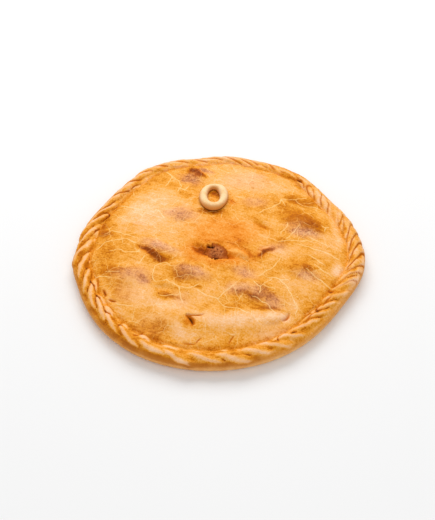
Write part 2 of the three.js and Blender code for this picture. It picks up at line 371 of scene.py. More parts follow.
# Slits where one lump laps over another, more open in some stretches of the rim than in others
SLIT_HALF_WIDTH = 0.55
SLIT_HALF_WIDTH_ROUND = [(98, 32, 0.8)]
SLIT_DEPTH = 0.9
SLIT_LAP = (0.15, 0.7)
SLIT_SHOWS = 0.1
SLIT_SHOWS_ROUND = [(10, 24, 0.9), (58, 18, -0.2), (98, 22, 0.4), (130, 40, 0.2)]
SLIT_SHOWS_ROUND += [(192, 28, 0.5), (240, 20, -0.5), (270, 20, -0.2), (318, 22, 0.4)]
SLIT_BREAKS = [(1.0, 8, 64.0)]
SLIT_FADE = (-0.3, 0.4)
LEAST_STEEPNESS = 0.25
STEEP_STEPS = (-2, 0, 2)
slit_half_width = by_angle(SLIT_HALF_WIDTH, SLIT_HALF_WIDTH_ROUND, skin_angle)
gap = braid - beneath
steep_in = np.gradient(gap, axis=0) / np.gradient(reach_in, axis=0)
steep_round = np.gradient(gap, axis=1) / (2 * math.pi * PLAN_RADIUS / SKIN_COLUMNS)
steep = np.hypot(steep_in, steep_round)
steep = np.max([np.roll(steep, step, axis) for axis in (0, 1) for step in STEEP_STEPS], axis=0)
slit_aside = gap / np.maximum(steep, LEAST_STEEPNESS)
slit_shows = bumps(spread_x, spread_y, SLIT_BREAKS) + by_angle(SLIT_SHOWS, SLIT_SHOWS_ROUND, skin_angle)
slit_line = bell(slit_aside / slit_half_width) * smooth_step(*SLIT_LAP, beneath)
slit_line *= smooth_step(*SLIT_FADE, slit_shows)

# At the right the folds lie flat like scales, each one's edge a bowed line over the next
SCALES_ROUND = [(2, 17, 1.0)]
SCALES_OUTER_END = (-15, -10)
SCALES_INNER_END = (8, 5)
SCALE_PITCH = 14.0
SCALE_RISE = 1.3
SCALE_EDGE = 0.1
SCALE_LEAN = 2.0
SCALE_BOW = 0.1
SCALE_SWAYS = [(6.0, 24, 65.0)]
from_crown = reach_in - math.pi / 2 * ROPE_MEAN_RADIUS
scale_run = rim_run(skin_angle) + sway_along + SCALE_LEAN * from_crown + SCALE_BOW * from_crown**2
scale_run += bumps(spread_x, spread_y, SCALE_SWAYS)
scale_share = scale_run / SCALE_PITCH % 1
scales = by_angle(0.0, SCALES_ROUND, skin_angle)
scales = scales * smooth_step(*SCALES_OUTER_END, from_crown) * smooth_step(*SCALES_INNER_END, from_crown)
edge_gap = np.minimum(scale_share, 1 - scale_share) * SCALE_PITCH / math.hypot(1, SCALE_LEAN)
slit_line = np.maximum(slit_line, scales * bell(edge_gap / slit_half_width))
braid += scales * SCALE_RISE * (1 - scale_share) * smooth_step(0, SCALE_EDGE, scale_share)
braid -= SLIT_DEPTH * slit_line

# At the back the groove between rope and lid is filled
GROOVE_FILL_ROUND = [(95, 42, 2.2)]
GROOVE_SPREAD = 7
in_groove = bell((reach_in - rope_end) / GROOVE_SPREAD)
braid += by_angle(0.0, GROOVE_FILL_ROUND, skin_angle) * in_groove

# Rope rows: an oval section, lifted by folds, by bumps along the rim and by long thin flakes
FINGER_SINK = 1.3
FINGER_SINK_TURN = (10, 60)
SINK_FULL_RISE = 3.4
ROPE_BUMPS = [(0.5, 9, 2.2, (-20, 60)), (0.25, 4, 4.2, (-80, -40))]
RIM_NOISE_SHIFT = -9.0
FLAKE_RISE = 0.5
FLAKE_SIZE = 3.6
FLAKE_STRETCH = 3
FLAKE_SEED = 68.0
FLAKE_TURN = (-10, 50)
ROPE_TOP_TURN = (20, 60)
outward = np.cos(np.radians(turn))
upward = np.sin(np.radians(turn))
# Places along the rim, for noise that is the same right across the rope
rim_x = PLAN_RADIUS * cos_angle
rim_y = PLAN_RADIUS * sin_angle + RIM_NOISE_SHIFT
sink = smooth_step(0, SINK_FULL_RISE, by_angle(SINK_FULL_RISE, FINGER_RISE_ROUND, skin_angle))
lift = braid[:ROPE_ROWS] - FINGER_SINK * smooth_step(*FINGER_SINK_TURN, turn) * sink
for rise, size, seed, fade in ROPE_BUMPS:
    lift += rise * wander(rim_x, rim_y, size, seed) * smooth_step(*fade, turn)
flake_radius = PLAN_RADIUS / FLAKE_STRETCH - rope_reach
flakes = wander(flake_radius * cos_angle, flake_radius * sin_angle, FLAKE_SIZE, FLAKE_SEED)
flakes *= smooth_step(*FLAKE_TURN, turn)
lift += FLAKE_RISE * flakes
rope_radius = by_angle(PLAN_RADIUS, SWELLS, skin_angle) - ROPE_WIDTH / 2 * (1 - outward) + lift * outward
rope_x = rope_radius * cos_angle
rope_y = rope_radius * sin_angle
rope_z = ROPE_HEIGHT / 2 * (1 + upward) + lift * upward
on_top = smooth_step(*ROPE_TOP_TURN, turn)
for *line, depth, _ in CREASES:
    rope_z -= depth * crease_cut(rope_x, rope_y, *line) * on_top

# Lid rows, from the groove at the seam in to the vent's torn edge
SEAM_GROOVE = 0.6
SEAM_SPREAD = 0.02
edge_x, edge_y = vent_spot(skin_angle, 1)
lid_x = edge_x + (seam * cos_angle - edge_x) * along
lid_y = edge_y + (seam * sin_angle - edge_y) * along
by_seam = bell((1 - along) / SEAM_SPREAD)
lid_z = lid_height(lid_x, lid_y) + braid[ROPE_ROWS:]
lid_z += (lift[-1:] - braid[ROPE_ROWS - 1] - SEAM_GROOVE) * by_seam

# Vent rows, down the torn wall and over the floor of the well: share of the way out, and of the way down
VENT_WALL = [(0.98, 0.12), (0.96, 0.3), (0.94, 0.5), (0.92, 0.7), (0.89, 0.88)]
VENT_WALL += [(share, 1) for share in (0.85, 0.5, 0.2)]
wall_share, wall_drop = [np.array(values)[:, None] for values in zip(*VENT_WALL)]
vent_x, vent_y = vent_spot(skin_angle, wall_share)
vent_z = lid_z[-1:] + (VENT_FLOOR - lid_z[-1:]) * wall_drop

grid_x = np.vstack([rope_x, lid_x, vent_x])
grid_y = np.vstack([rope_y, lid_y, vent_y])
grid_z = np.vstack([rope_z, lid_z, vent_z])
on_lid = np.vstack([np.zeros_like(rope_x), np.ones_like(lid_x), np.ones_like(vent_x)])

# Spots baked darker or paler, painted sheen, juice stains: middle, half length, half width, turn and amount
# Paler spots on the lid are partly painted sheen, partly paler glaze; dark spots at the ring paint its shadow
BROWNING_AND_PAINTED_LIGHT = [
    (-113, 36, 36, 11, 72, 0.17),
    (-104, 18, 20, 3.5, -14, 0.12),
    (-96, 29, 20, 3, -22, 0.08),
    (-85, 92, 30, 13, 40, 0.14),
    (-114, -14, 30, 12, 95, 0.14),
    (-65, 103, 10, 6, 20, 0.1),
    (-72, 42, 44, 27, -20, -0.21),
    (-60, 72, 26, 12, -15, -0.13),
    (-48, 87, 9, 6, -60, 0.1),
    (-36, 73, 9, 6, -10, 0.2),
    (-117, 34, 8, 3, -45, 0.18),
    (-118, 22, 9, 4, 60, 0.16),
    (-29, 113, 7, 5, -20, 0.5),
    (-20, 105, 10, 4, -35, 0.46),
    (-15, 114, 8, 5, -20, 0.17),
    (-31, 97, 13, 8, -32, 0.1),
    (-40, 38, 18, 11, -15, 0.23),
    (-22, 112, 22, 16, -50, 0.08),
    (-8, 43, 15, 4, -4, 0.42),
    (-5, 74, 7, 6, 0, 0.4),
    (32, 97, 40, 27, -15, -0.14),
    (87, 69, 26, 10, -10, 0.22),
    (77, 67, 9, 5, -10, 0.12),
    (86, 93, 6, 4, -30, 0.15),
    (65, 58, 18, 6, -30, 0.1),
    (78, 43, 40, 18, -20, 0.16),
    (100, 58, 18, 12, -50, 0.1),
    (88, 33, 25, 12, -18, 0.21),
    (98, 26, 11, 7, -30, 0.1),
    (103, 18, 5, 3, -20, 0.2),
    (42, 27, 13, 6, -35, 0.22),
    (47, 20, 12, 6, -30, 0.15),
    (42, 52, 5, 3, 0, 0.18),
    (14, 62, 5, 3, -40, 0.22),
    (20, 5, 9, 6, -45, 0.14),
    (121, 28, 24, 5, 100, -0.22),
    (-71, -11, 8, 4.5, -50, 0.38),
    (-63, -20, 9, 5, -32, 0.34),
    (-55, -24, 8, 4, -12, 0.2),
    (-60, -19, 20, 12, -32, 0.13),
    (-77, -5, 6, 4, -30, 0.34),
    (-92, -11, 14, 4, 0, 0.1),
    (-19, -11, 9, 5.5, -20, 0.44),
    (-24, -4, 9, 6, -35, 0.17),
    (-5, 1, 16, 5, -6, 0.16),
    (-4, -27, 20, 5, -4, 0.13),
    (-25, -18, 9, 6, -10, 0.1),
    (-12, -14, 5, 6, 0, 0.16),
    (-40, -43, 10, 5, -25, 0.14),
    (-34, -49, 12, 5, -15, 0.12),
    (-30, -40, 24, 15, -18, 0.1),
    (-108, -34, 13, 9, -20, 0.2),
    (-88, -37, 20, 9, -20, 0.13),
    (-99, -58, 18, 11, -50, 0.23),
    (-75, -47, 8, 5, -30, 0.1),
    (-55, -68, 11, 5, -20, 0.3),
    (-42, -71, 13, 4.5, -10, 0.17),
    (-21, -61, 6, 2.5, -15, 0.25),
    (-75, -66, 26, 12, -28, -0.16),
    (-46, -82, 20, 9, -20, -0.17),
    (-38, -109, 13, 7, -10, -0.22),
    (-80, -97, 14, 9, -30, 0.1),
    (-58, -105, 18, 8, -15, 0.23),
    (-62, -113, 12, 5, -20, 0.12),
    (6, -16, 8, 5, -35, 0.26),
    (10, -19, 8, 5, -28, 0.16),
    (22, -18, 12, 4, -42, -0.13),
    (18, -6, 12, 5, -15, 0.2),
    (23, 2, 9, 5, 0, 0.06),
    (27, -18, 6, 9, -20, 0.09),
    (33, -16, 6, 8, 0, 0.12),
    (48, -13, 11, 2.8, 38, 0.4),
    (43, -20, 10, 7, 38, 0.16),
    (18, -37, 14, 8, 0, 0.08),
    (81, -30, 12, 5, -5, 0.16),
    (88, -32, 7, 5, -40, 0.18),
    (81, -33, 20, 13, -10, 0.08),
    (92, -43, 5, 3, -40, 0.14),
    (24, -68, 13, 5, -15, 0.26),
    (33, -73, 8, 4, -20, 0.2),
    (46, -66, 13, 9, -50, 0.26),
    (24, -83, 32, 6, 0, 0.2),
    (47, -86, 14, 4.5, 5, 0.22),
    (88, -80, 11, 9, 20, 0.1),
    (10, -97, 46, 9, 2, -0.27),
    (56, -94, 14, 5.5, 18, -0.3),
    (24, -102, 26, 7, 3, -0.14),
    (-31, -100, 5, 9, 25, 0.36),
    (-22, -87, 6, 2.5, -10, 0.12),
    (75, -52, 24, 10, 0, -0.11),
    (68, -78, 11, 10, 0, -0.1),
    (62, -12, 15, 8, 20, -0.14),
    (118, -30, 9, 5, 88, -0.42),
    (10, -112, 44, 7, 2, -0.08),
    (105, 2, 18, 12, 80, -0.08),
    (55, -110, 24, 8, 12, -0.1),
    (119, 4, 22, 6, 92, -0.14),
    (62, 2, 12, 8, 20, 0.14),
]
# Painted sheen: pink-pale light on browned blister tops, painted into the colour
SHEEN_SPOTS = [
    (-14, 114, 8, 5.5, -20, 1.0),
    (-31, 99, 14, 9, -32, 1.0),
    (30, 95, 26, 18, -15, 0.45),
    (-40, 42, 19, 11, -20, 1.0),
    (-81, 29, 8, 4, -20, 0.35),
    (80, 25, 14, 8, -15, 0.55),
    (88, 17, 17, 7, -10, 1.0),
    (38, 61, 14, 8, 0, 0.6),
    (40, 105, 11, 8, 0, 0.55),
    (-59, -6, 20, 7.5, -30, 1.0),
    (-27, -42, 17, 9, -20, 1.0),
    (-86, -41, 20, 10, -10, 0.75),
    (-77, -45, 10, 8, -30, 1.0),
    (-92, -62, 16, 10, -50, 0.35),
    (-62, -101, 22, 13, -20, 0.22),
    (-38, -73, 12, 9, -45, 0.45),
    (26, -42, 13, 8, -10, 0.8),
    (55, -7, 14, 7, 25, 0.6),
    (86, -41, 13, 6.5, -15, 1.0),
    (20, -62, 13, 8, -10, 0.8),
    (37, -67, 16, 10, -15, 0.75),
    (51, -76, 9, 12, 15, 1.0),
    (55, -110, 24, 8, 12, 0.3),
]
STAINED = [
    (4, 14, 46, 24, 0, 1.0),
    (6, -17, 34, 19, -8, 1.0),
    (-22, -13, 20, 16, -20, 1.0),
    (45, -14, 16, 8, 38, 0.6),
    (-30, -99, 6, 9, 25, 0.7),
    (-23, 109, 13, 7, -35, 0.8),
    (-72, -11, 12, 6, -40, 0.7),
    (13, 60, 10, 6, -30, 0.7),
]
PATCH_STRAYS = [(4, 14, 11.3, 15.7), (1.6, 5, 21.3, 25.7)]
PATCH_CORE = 0.25
plan_x, plan_y = strayed(grid_x, grid_y, PATCH_STRAYS)


def patches(spots, gather, edge):
    """Soft spots gathered over the lid, each gone at the given multiple of its own half sizes."""
    gathered = np.zeros_like(grid_x)
    for *oval, amount in spots:
        spot = amount * smooth_step(edge, PATCH_CORE, oval_reach(plan_x, plan_y, oval))
        gathered = gather(gathered, spot)
    return gathered * on_lid


# Darkness of creases and rope slits, partly painted shade, partly browned dough; the vent's wall is painted
# shade
SLIT_TONE_ROUND = [(28, 34, -0.4), (98, 30, -0.5)]
VENT_SHADE_ROUND = [(0, 35, -0.5), (178, 30, -0.4)]
VENT_SHADE_DROP = (0.2, 0.9)
cuts = np.zeros_like(grid_x)
for *line, _, darkness in CREASES:
    cuts = np.maximum(cuts, darkness * crease_cut(grid_x, grid_y, *line))
cuts[:ROPE_ROWS] *= on_top
slit_shade = slit_line * by_angle(1.0, SLIT_TONE_ROUND, skin_angle)
cuts[:VENT_ROW] = np.maximum(cuts[:VENT_ROW], slit_shade)
cuts[VENT_ROW:] = smooth_step(*VENT_SHADE_DROP, wall_drop) * by_angle(1.0, VENT_SHADE_ROUND, skin_angle)

# Long cracks in the glaze, each as the places that it runs through
CRACKS = [
    [(-56, 113), (-50, 106), (-46, 101), (-42, 95), (-41, 88), (-43, 79)],
    [(-50, 106), (-54, 96), (-57, 90)],
    [(-43, 85), (-36, 80), (-33, 86)],
    [(-108, 66), (-100, 62), (-88, 56), (-80, 52)],
    [(-65, 50), (-60, 44), (-57, 37)],
    [(-117, 21), (-110, 24), (-102, 20), (-93, 15), (-83, 9)],
    [(-124, 0), (-118, 6), (-110, 10), (-100, 10), (-91, 7), (-83, 2)],
    [(-110, -5), (-102, -4), (-94, -9), (-80, -9)],
    [(41, 44), (46, 48), (53, 53), (62, 60), (66, 67), (80, 70), (92, 74)],
    [(80, 69), (87, 61), (100, 60), (112, 55)],
    [(66, 66), (69, 59)],
    [(62, 14), (67, 22), (70, 29)],
    [(69, 8), (76, 17), (82, 26)],
    [(60, 2), (75, 5), (95, 6)],
    [(-50, -30), (-55, -27), (-60, -28), (-64, -31), (-66, -38), (-66, -46), (-62, -52), (-52, -50)],
    [(-79, -25), (-75, -17)],
    [(-52, -50), (-45, -54), (-39, -59), (-30, -60), (-20, -56)],
    [(-39, -59), (-38, -69), (-36, -77)],
    [(-57, -68), (-41, -69)],
    [(-22, -63), (-12, -70), (-2, -75), (3, -82), (9, -85), (18, -86), (27, -91)],
    [(-2, -75), (6, -65), (13, -58)],
    [(-112, -33), (-100, -36)],
    [(-122, -38), (-108, -41)],
    [(-99, -75), (-84, -79)],
    [(33, -72), (40, -77), (45, -80), (52, -88)],
    [(38, -68), (39, -62), (43, -57), (50, -50)],
    [(39, -62), (34, -55)],
    [(42, -59), (53, -61)],
    [(38, -45), (48, -38), (55, -30), (60, -21)],
    [(48, -46), (58, -47), (66, -48)],
    [(58, -47), (66, -57), (70, -66), (74, -79), (73, -88)],
    [(86, -34), (96, -42), (108, -52)],
    [(78, 0), (95, -5), (108, -9), (119, -15)],
    [(90, -14), (104, -25)],
    [(93, 10), (102, 5), (111, 1)],
    [(95, -26), (103, -33), (111, -38)],
    [(105, 29), (109, 27), (112, 30)],
    [(109, 27), (108, 22)],
]
CRACK_STRAYS = [(1.6, 7, 51.0, 52.0), (0.5, 2.5, 53.0, 54.0)]
CRACK_FAR = 9.0
CRACK_NEAR = (2.4, 1.6)


def crack_places(x, y):
    """Millimetres from each point to the nearest crack, negative on the crack's right-hand side."""
    nearest = np.full_like(x, CRACK_FAR)
    for path in CRACKS:
        for (start_x, start_y), (end_x, end_y) in zip(path, path[1:]):
            length = math.hypot(end_x - start_x, end_y - start_y)
            run_x = (end_x - start_x) / length
            run_y = (end_y - start_y) / length
            reached = np.clip((x - start_x) * run_x + (y - start_y) * run_y, 0, length)
            away = np.hypot(x - start_x - reached * run_x, y - start_y - reached * run_y)
            side = np.where((y - start_y) * run_x < (x - start_x) * run_y, -1, 1)
            nearest = np.where(away < np.abs(nearest), side * away, nearest)
    return nearest


crack_side = crack_places(*strayed(grid_x, grid_y, CRACK_STRAYS))

# Tones of the rope: darker valleys, outer side, pale tops, dull wall, darker underside and pale foot
VALLEY_ROUND = [(15, 40, -0.4), (95, 40, -0.3), (195, 40, 0.8), (264, 24, 0.3), (316, 20, 1.0)]
VALLEY_RIDGE = (0.5, 0.05)
VALLEY_TURN = (10, 55)
VALLEY_FADE = 4
OUTER_LIGHT_ROUND = [(345, 35, 0.8), (95, 50, -0.7)]
OUTER_LIGHT_TURN = 42
OUTER_LIGHT_SPREAD = 20
FINGER_TOP_ROUND = [(20, 45, -0.5), (215, 28, 0.35), (275, 24, 0.35)]
FINGER_TOP_RIDGE = (0.3, 0.95)
FINGERS_INNER_END = (1, -4)
BEAD_TOP_RIDGE = (0.3, 0.9)
BEADS_OUTER_END = (-5, -1)
WALL_TURN = (50, 5)
FOOT_PALENESS = 0.2
FOOT_ROUND = [(300, 34, 0.3)]
FOOT_TURN = (30, -25)
FOOT_BREAKS = [(0.9, 7, 67.0)]
UNDER_SHADE_STRENGTH = 0.15
UNDER_ROUND = [(250, 28, 1.35)]
UNDER_BRAID = (2.9, 0.9)
UNDER_TURN = (-5, 24)
UNDER_FINGER = (-8, -35)
UNDER_LEVEL = 0.75
UNDER_BREAKS = [(0.6, 11, 66.0)]
# Valleys between the folds: darker partly with painted shade, partly with toasted dough
over_rope = bell(np.clip(reach_in - rope_end, 0, None) / VALLEY_FADE)
over_rope[:ROPE_ROWS] = smooth_step(*VALLEY_TURN, turn)
valley = over_rope * smooth_step(*VALLEY_RIDGE, ridge) * by_angle(1.0, VALLEY_ROUND, skin_angle)
# Outer side of the rope: painted highlight at the right, painted shade at the back
outer_highlight_and_shade = bell((turn - OUTER_LIGHT_TURN) / OUTER_LIGHT_SPREAD) * by_angle(0.0, OUTER_LIGHT_ROUND, skin_angle)
ridge[:ROPE_ROWS] = np.maximum(ridge[:ROPE_ROWS], outer_highlight_and_shade)
# Painted highlights on the tops of the fingers and the beads
finger_top_highlight = smooth_step(*FINGER_TOP_RIDGE, ridge) * smooth_step(*FINGERS_INNER_END, reach_in - rope_end)
finger_top_highlight *= by_angle(1.0, FINGER_TOP_ROUND, skin_angle)
bead_top_highlight = smooth_step(*BEAD_TOP_RIDGE, ridge) * smooth_step(*BEADS_OUTER_END, reach_in - rope_end)
wall_tone = np.repeat(smooth_step(*WALL_TURN, turn), SKIN_COLUMNS, axis=1)
# Pale foot: partly painted light bounced from the floor, partly paler, less-baked dough
foot_tone = smooth_step(*FOOT_TURN, turn) * by_angle(FOOT_PALENESS, FOOT_ROUND, skin_angle)
foot_tone *= 1 + bumps(rim_x, rim_y, FOOT_BREAKS)
from_finger = turn - by_angle(FINGER_TURN, FINGER_TURN_ROUND, skin_angle)
# Painted shade on the wall under the fingers' overhang
under_shade = smooth_step(*UNDER_BRAID, braid[:ROPE_ROWS]) * smooth_step(*UNDER_TURN, turn)
under_shade *= smooth_step(*UNDER_FINGER, from_finger)
under_shade *= by_angle(UNDER_SHADE_STRENGTH, UNDER_ROUND, skin_angle)
under_shade *= UNDER_LEVEL + bumps(rim_x, rim_y, UNDER_BREAKS)

# How dark each point is, from 0 for raw to 1 for burnt: browning, with painted shade and highlights added in
BAKE_LEVEL = 0.43
BAKE_LIMIT = 0.9
BAKED_EDGE = 1.5
SHEEN_EDGE = 1.45
STAINED_EDGE = 1.4
SHEEN_SPOT_BAKE = 0.05
ROPE_BAKE = 0.06
# Paler at the back: painted light on the rope's inner side, which faces away from the lamp
ROPE_BAKE_ROUND = [(10, 40, -0.13), (48, 16, 0.06), (82, 34, -0.12), (135, 40, -0.1), (266, 30, -0.1)]
WALL_BAKE = 0.04
UNDER_SHADE_DARKENING = 0.14
OUTER_LIGHT_PALER = 0.2
FLAKE_PALER = 0.22
VALLEY_SHADE_AND_BAKE = 0.1
FINGER_TOP_PALER = 0.18
BEAD_TOP_PALER = 0.12
# Painted shade: each flat scale darker towards its end under the next scale's edge
SCALE_SHADE_DARKENING = 0.2
painted_sheen = patches(SHEEN_SPOTS, np.maximum, SHEEN_EDGE)
bake_and_light = np.minimum(BAKE_LEVEL + patches(BROWNING_AND_PAINTED_LIGHT, np.add, BAKED_EDGE) + SHEEN_SPOT_BAKE * painted_sheen, BAKE_LIMIT)
rope_bake_and_light = by_angle(ROPE_BAKE, ROPE_BAKE_ROUND, skin_angle) + WALL_BAKE * wall_tone + UNDER_SHADE_DARKENING * under_shade
rope_bake_and_light -= OUTER_LIGHT_PALER * outer_highlight_and_shade + FLAKE_PALER * flakes
fold_light_and_bake = VALLEY_SHADE_AND_BAKE * valley - FINGER_TOP_PALER * finger_top_highlight - BEAD_TOP_PALER * bead_top_highlight
fold_light_and_bake += SCALE_SHADE_DARKENING * scales * (scale_share - 0.5)
bake_and_light[:ROPE_ROWS] += rope_bake_and_light
bake_and_light[:VENT_ROW] += fold_light_and_bake


def over_vent(values):
    """Rows of values with noughts for the rows that are missing, down to the vent's floor."""
    return np.vstack([values, np.zeros((len(grid_x) - len(values), SKIN_COLUMNS))])


tones = {
    "bake_and_light": bake_and_light,
    "painted_sheen": painted_sheen,
    "stained": patches(STAINED, np.maximum, STAINED_EDGE),
    "cuts": cuts,
    "crack_side": crack_side,
    "crack_near": smooth_step(*CRACK_NEAR, np.abs(crack_side)) * on_lid,
    "ridge": over_vent(finger_top_highlight),
    "wall": over_vent(wall_tone),
    "under": over_vent(under_shade),
    "foot": over_vent(foot_tone),
    "bead": over_vent(bead_top_highlight),
    "rope": 1 - on_lid,
}
MERGE_DISTANCE = 1e-7


def turn_outward(bm):
    """Faces a closed skin outward and shades it smooth."""
    bmesh.ops.recalc_face_normals(bm, faces=bm.faces)
    for face in bm.faces:
        face.smooth = True


def rolled_skin(points, layers, low_pole, high_pole):
    """A closed skin: a flat grid rolled up, each row a ring, its sides joined and its ends drawn shut."""
    bm = bmesh.new()
    rings, steps = points[0].shape
    bmesh.ops.create_grid(bm, x_segments=steps, y_segments=rings + 1, size=1)
    named = {name: bm.verts.layers.float.new(name) for name in layers}
    for vert in bm.verts:
        column = round((vert.co.x + 1) / 2 * steps) % steps
        row = round((vert.co.y + 1) / 2 * (rings + 1)) - 1
        if 0 <= row < rings:
            vert.co = Vector([axis[row, column] for axis in points]) * MM
        else:
            vert.co = Vector(low_pole if row < 0 else high_pole) * MM
            row = min(max(row, 0), rings - 1)
        for name, layer in named.items():
            vert[layer] = layers[name][row, column]
    bmesh.ops.remove_doubles(bm, verts=bm.verts, dist=MERGE_DISTANCE)
    turn_outward(bm)
    return bm


def piece_from(bm, name):
    mesh = bpy.data.meshes.new(name)
    bm.to_mesh(mesh)
    bm.free()
    piece = bpy.data.objects.new(name, mesh)
    bpy.context.collection.objects.link(piece)
    return piece


vent_middle = (VENT[0], VENT[1], VENT_FLOOR)
crust_mesh = rolled_skin((grid_x, grid_y, grid_z), tones, low_pole=(0, 0, 0), high_pole=vent_middle)
crust = piece_from(crust_mesh, "crust_skin")


def srgb(red, green, blue):
    """A colour as seen on screen, 0 to 255, turned to the linear one that a shader takes."""
    seen = [value / 255 for value in (red, green, blue)]
    return (*[v / 12.92 if v <= 0.04045 else ((v + 0.055) / 1.055) ** 2.4 for v in seen], 1)


def join(node, sockets):
    """Joins each of a node's sockets to another node's, or sets it to a value."""
    for key, value in dict(sockets).items():
        if isinstance(value, bpy.types.NodeSocket):
            node.id_data.links.new(value, node.inputs[key])
        else:
            node.inputs[key].default_value = value


def put(tree, kind, sockets=(), **settings):
    """Adds a node with its settings and sockets."""
    made = tree.nodes.new(kind)
    for key, value in settings.items():
        setattr(made, key, value)
    join(made, sockets)
    return made


def blend(tree, amount, under, over):
    return put(tree, "ShaderNodeMix", {0: amount, 6: under, 7: over}, data_type="RGBA").outputs[2]


def calc(tree, operation, first, second=0.0):
    return put(tree, "ShaderNodeMath", {0: first, 1: second}, operation=operation).outputs[0]


def vector_calc(tree, operation, first, second):
    return put(tree, "ShaderNodeVectorMath", {0: first, 1: second}, operation=operation).outputs[0]


def ramp(tree, value, low, high, to_low=0.0, to_high=1.0):
    sockets = {"Value": value, "From Min": low, "From Max": high, "To Min": to_low, "To Max": to_high}
    return put(tree, "ShaderNodeMapRange", sockets, interpolation_type="SMOOTHSTEP").outputs[0]


def cloud(tree, place, scale, detail=3.0, roughness=0.55):
    sockets = {"Vector": place, "Scale": scale, "Detail": detail, "Roughness": roughness}
    return put(tree, "ShaderNodeTexNoise", sockets).outputs[0]


def bumped(tree, strength, distance, height):
    sockets = {"Strength": strength, "Distance": distance * MM, "Height": height}
    return put(tree, "ShaderNodeBump", sockets).outputs[0]


def tone(tree, name):
    return put(tree, "ShaderNodeAttribute", attribute_name=name).outputs["Fac"]


def bare_material(name):
    material = bpy.data.materials.new(name)
    material.use_nodes = True
    tree = material.node_tree
    tree.nodes.clear()
    shader = put(tree, "ShaderNodeBsdfPrincipled")
    put(tree, "ShaderNodeOutputMaterial", {"Surface": shader.outputs[0]})
    place = put(tree, "ShaderNodeTexCoord").outputs["Object"]
    return material, tree, shader, place


# Grain of baked dough, shared by crust and ring: soft mottling, dark pores and a fine uneven height
grain = bpy.data.node_groups.new("baked_grain", "ShaderNodeTree")
grain.interface.new_socket("Place", in_out="INPUT", socket_type="NodeSocketVector")
for name in ("Mottle", "Flecks", "Pores", "Height"):
    grain.interface.new_socket(name, in_out="OUTPUT", socket_type="NodeSocketFloat")
grain_in = put(grain, "NodeGroupInput").outputs["Place"]
fine = cloud(grain, grain_in, scale=600.0, detail=4.0, roughness=0.8)
broad = cloud(grain, grain_in, scale=130.0, detail=4.0, roughness=0.62)
pore_cells = put(grain, "ShaderNodeTexVoronoi", {"Vector": grain_in, "Scale": 400.0})
pores = ramp(grain, pore_cells.outputs["Distance"], 0.3, 0.1)
pores = calc(grain, "MULTIPLY", pores, ramp(grain, broad, 0.42, 0.6))
height = calc(grain, "ADD", calc(grain, "MULTIPLY", fine, 0.5), calc(grain, "MULTIPLY", broad, 0.8))
height = calc(grain, "SUBTRACT", height, calc(grain, "MULTIPLY", pores, 0.4))
put(grain, "NodeGroupOutput", {"Mottle": broad, "Flecks": fine, "Pores": pores, "Height": height})

# Shades of baked dough, of its painted sheen and of its oily stains, each from the palest to burnt
BAKE_SHADES = [
    (0.0, srgb(255, 208, 164)),
    (0.22, srgb(250, 188, 122)),
    (0.42, srgb(244, 171, 75)),
    (0.58, srgb(232, 149, 34)),
    (0.72, srgb(207, 118, 9)),
    (0.86, srgb(170, 82, 4)),
    (1.0, srgb(100, 40, 3)),
]
SHEEN_SHADES = [
    (0.0, srgb(255, 214, 180)),
    (0.42, srgb(240, 178, 134)),
    (0.6, srgb(218, 150, 104)),
    (0.75, srgb(178, 106, 62)),
    (0.9, srgb(140, 76, 40)),
    (1.0, srgb(95, 40, 12)),
]
OILY_SHADES = [
    (0.0, srgb(255, 196, 110)),
    (0.42, srgb(242, 148, 44)),
    (0.58, srgb(233, 128, 20)),
    (0.72, srgb(204, 98, 5)),
    (0.86, srgb(163, 72, 6)),
    (1.0, srgb(95, 36, 4)),
]
GLAZE_CRACK = srgb(255, 222, 148)
# Painted highlights for the fold ridges and the bead tops
RIDGE_HIGHLIGHT = srgb(244, 186, 134)
BEAD_HIGHLIGHT_GOLD = srgb(252, 190, 108)
OUTER_WALL = srgb(214, 140, 70)
# Painted shade under the fingers
UNDER_SHADE_BROWN = srgb(184, 104, 30)
# Foot colour: partly painted floor light, partly paler dough
FOOT_CREAM = srgb(253, 210, 146)
# Crevice colours: partly painted shade, partly browned dough
CREVICE_SHADE_ORANGE = srgb(206, 110, 10)
CREVICE_SHADE_BROWN = srgb(92, 38, 8)
PORE_BROWN = srgb(140, 70, 36)


def shades(tree, value, stops):
    """Colours along a scale, each at its place from 0 to 1."""
    scale = put(tree, "ShaderNodeValToRGB", {"Fac": value})
    elements = scale.color_ramp.elements
    elements[0].color = stops[0][1]
    elements[1].color = stops[-1][1]
    for at, tint in stops[1:-1]:
        elements.new(at).color = tint
    return scale.outputs[0]


crust_material, tree, shader, place = bare_material("egg_washed_crust")
dough = put(tree, "ShaderNodeGroup", {"Place": place}, node_tree=grain).outputs
drift = cloud(tree, place, scale=26.0, detail=4.0, roughness=0.6)
BRUSHED_TURN = -0.45
BRUSHED_STRETCH = (8, 1, 1)
brushed = {"Vector": place, "Rotation": (0, 0, BRUSHED_TURN), "Scale": BRUSHED_STRETCH}
brushed = put(tree, "ShaderNodeMapping", brushed, vector_type="TEXTURE").outputs[0]
streak = cloud(tree, brushed, scale=480.0, detail=3.0, roughness=0.65)

